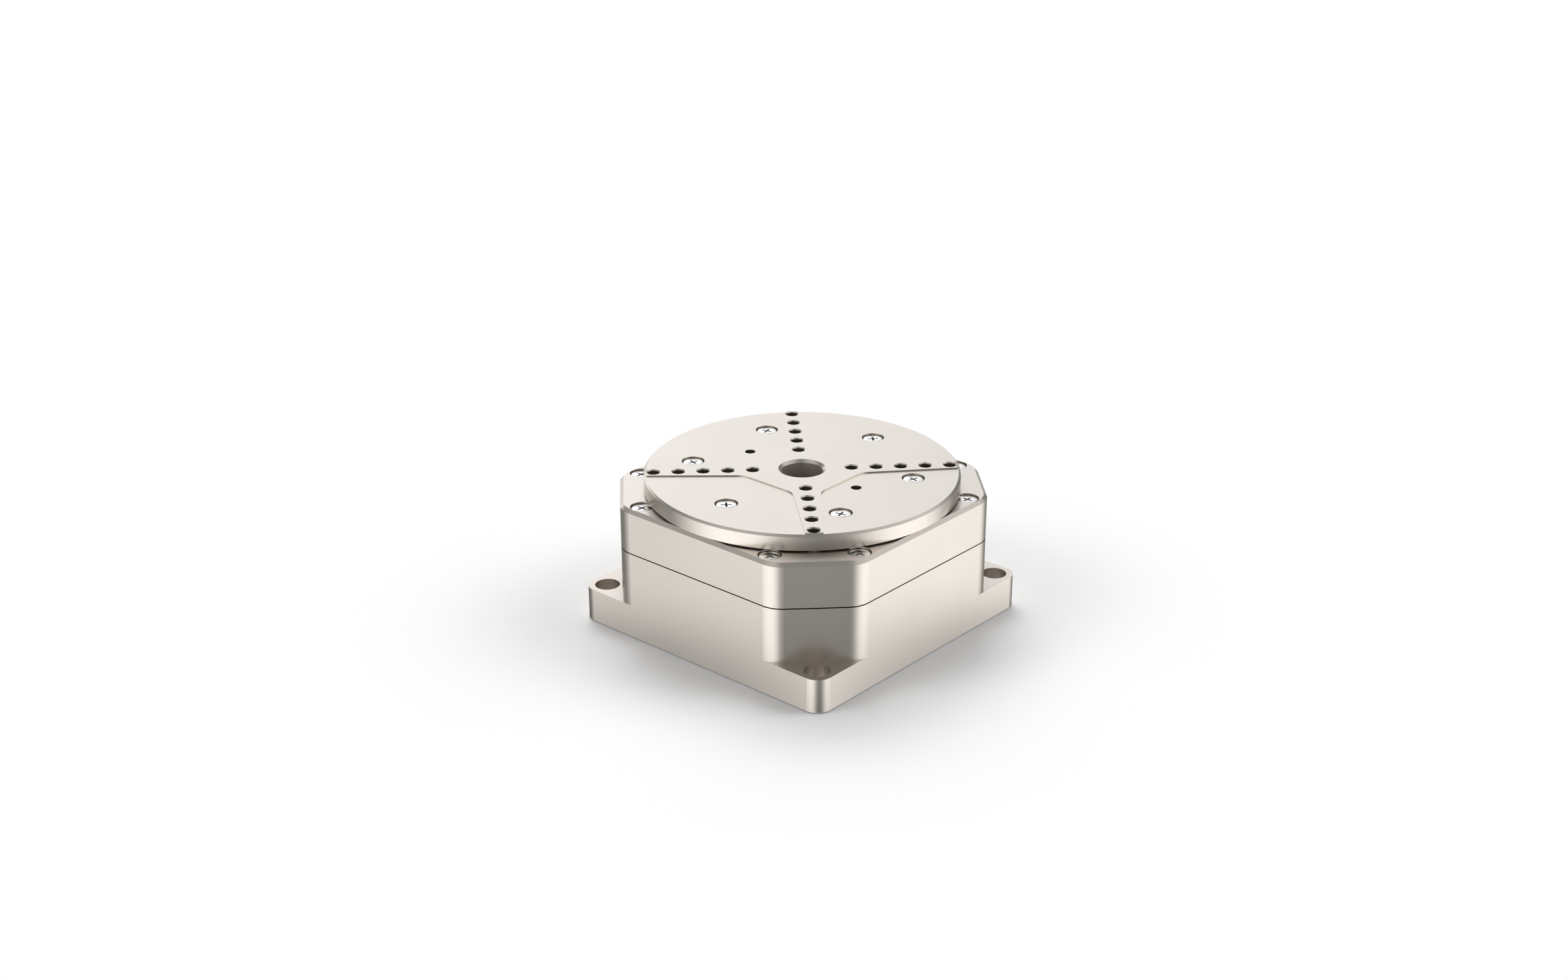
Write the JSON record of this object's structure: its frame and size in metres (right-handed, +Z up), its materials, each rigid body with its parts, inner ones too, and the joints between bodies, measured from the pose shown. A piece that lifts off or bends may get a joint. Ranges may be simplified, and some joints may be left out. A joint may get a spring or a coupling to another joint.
{
  "type": "piezo rotation stage",
  "caption": "Motorised rotation stage: square foot with bolt ears, octagonal housing and a round tapped platform with a central aperture, turning on a crossed-roller bearing.",
  "frame": {"origin": "on the axis of rotation, in the plane of the face that the stage stands on", "axes": "+Z up along the axis of rotation, +Y towards the face with the socket, X and Y along the foot's sides"},
  "size_m": [0.08, 0.08, 0.04],
  "materials": {
    "housing": "bead-blasted, clear to champagne anodised",
    "platform": "bead-blasted, clear to champagne anodised",
    "inner_aluminium": "machined",
    "screw_steel": "bright stainless",
    "bearing_steel": "ground",
    "spring_steel": "rolled",
    "cage_plastic": "moulded",
    "white_ceramic": "lapped",
    "piezo_ceramic": "silvered",
    "pad_rubber": "moulded",
    "scale_glass": "chrome on glass",
    "window_glass": "polished",
    "head_black": "moulded",
    "board_green": "solder resist",
    "chip_black": "moulded",
    "connector_metal": "nickel plated",
    "connector_black": "moulded",
    "pin_gold": "gold plated",
    "ribbon_film": "polyimide film"
  },
  "bodies": {
    "root": {"bearing_outer_ring_lower": "bearing_steel", "bearing_outer_ring_upper": "bearing_steel", "board_chips": "chip_black", "board_screws": "screw_steel", "bottom_cover": "inner_aluminium", "circuit_board": "board_green", "connector_insert": "connector_black", "connector_pins": "pin_gold", "connector_shell": "connector_metal", "cover_screws": "screw_steel", "drive_tip_1": "white_ceramic", "drive_tip_2": "white_ceramic", "housing_screws": "screw_steel", "jack_screws": "screw_steel", "lower_housing": "housing", "motor_frame_1": "inner_aluminium", "motor_frame_2": "inner_aluminium", "motor_lead_1": "ribbon_film", "motor_lead_2": "ribbon_film", "motor_screws": "screw_steel", "nodal_pads_1": "pad_rubber", "nodal_pads_2": "pad_rubber", "piezo_plate_1": "piezo_ceramic", "piezo_plate_2": "piezo_ceramic", "preload_screw_1": "screw_steel", "preload_screw_2": "screw_steel", "preload_spring_1": "spring_steel", "preload_spring_2": "spring_steel", "read_head": "head_black", "read_head_block": "inner_aluminium", "read_head_lead": "ribbon_film", "read_head_screws": "screw_steel", "read_head_window": "window_glass", "ribbon_cable": "ribbon_film", "spacer_ring": "inner_aluminium", "upper_housing": "housing"},
    "rotor": {"platform": "platform", "platform_screws": "screw_steel", "rotor_hub": "inner_aluminium", "drive_ring": "white_ceramic", "bearing_nut": "bearing_steel", "encoder_scale": "scale_glass", "bearing_inner_ring": "bearing_steel"},
    "roller_cage": {"bearing_cage": "cage_plastic", "bearing_rollers": "bearing_steel"}
  },
  "joints": [
    {"name": "platform_spin", "type": "hinge", "parent": "root", "child": "rotor", "pos_m": [0, 0, 0.0357], "axis": [0, 0, 1], "continuous": true},
    {"name": "cage_spin", "type": "hinge", "parent": "root", "child": "roller_cage", "pos_m": [0, 0, 0.0272], "axis": [0, 0, 1], "continuous": true}
  ],
  "couplings": [
    {"joint": "cage_spin", "follows": "platform_spin", "ratio": 0.47562}
  ]
}
